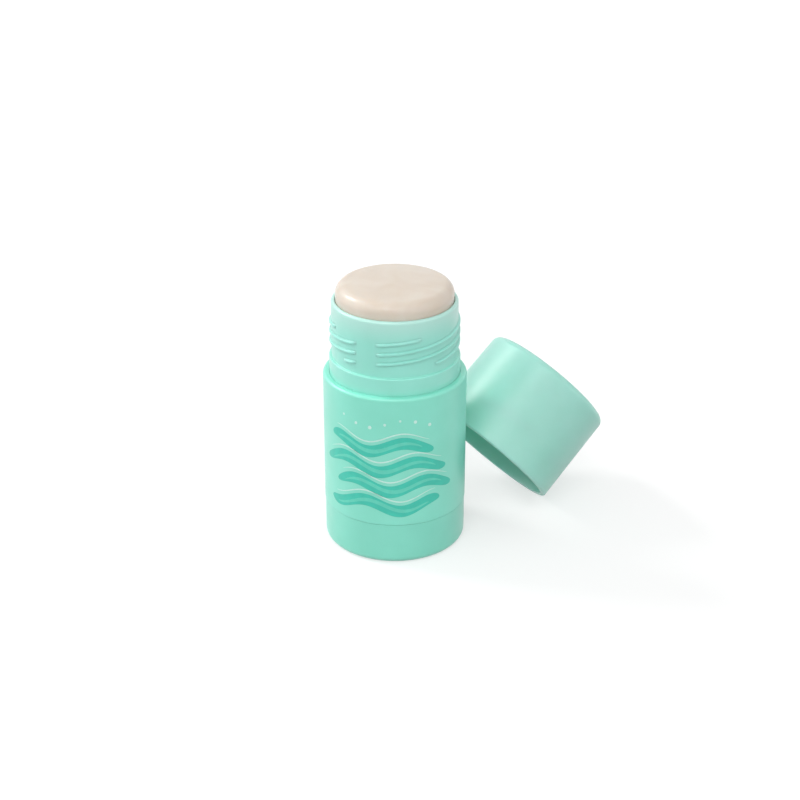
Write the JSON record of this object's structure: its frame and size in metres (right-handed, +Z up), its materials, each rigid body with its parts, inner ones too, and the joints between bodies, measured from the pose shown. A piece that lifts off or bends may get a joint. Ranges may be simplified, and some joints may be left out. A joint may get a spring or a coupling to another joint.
{
  "type": "deodorant stick",
  "caption": "Round twist-up deodorant stick with a threaded neck, a turning base dial, a domed bar and its screw cap leaning against the side.",
  "frame": {"origin": "middle of the base, on the plane of the dial's foot ring", "axes": "+Z up along the stick, -Y towards the printed front, +X to the right seen from the front"},
  "size_m": [0.081, 0.0765, 0.0813],
  "materials": {
    "sleeve": "satin moulded plastic with printed shapes",
    "barrel": "satin moulded plastic",
    "dial": "satin moulded plastic",
    "cap": "satin moulded plastic",
    "inner_plastic": "natural white moulded plastic",
    "bar": "smooth waxy solid"
  },
  "bodies": {
    "barrel": {"sleeve": "sleeve", "barrel": "barrel", "bearing_plate": "inner_plastic", "cap": "cap"},
    "dial": {"dial": "dial", "spindle": "inner_plastic"},
    "elevator": {"platform": "inner_plastic", "bar": "bar"}
  },
  "joints": [
    {"name": "dial_turn", "type": "hinge", "parent": "barrel", "child": "dial", "pos_m": [0, 0, 0.006], "axis": [0, 0, -1], "range_deg": [0, 3960.5]},
    {"name": "bar_rise", "type": "slide", "parent": "barrel", "child": "elevator", "axis": [0, 0, 1], "range_m": [0, 0.055]}
  ],
  "couplings": [
    {"joint": "dial_turn", "follows": "bar_rise", "rad_per_m": 1256.6}
  ]
}
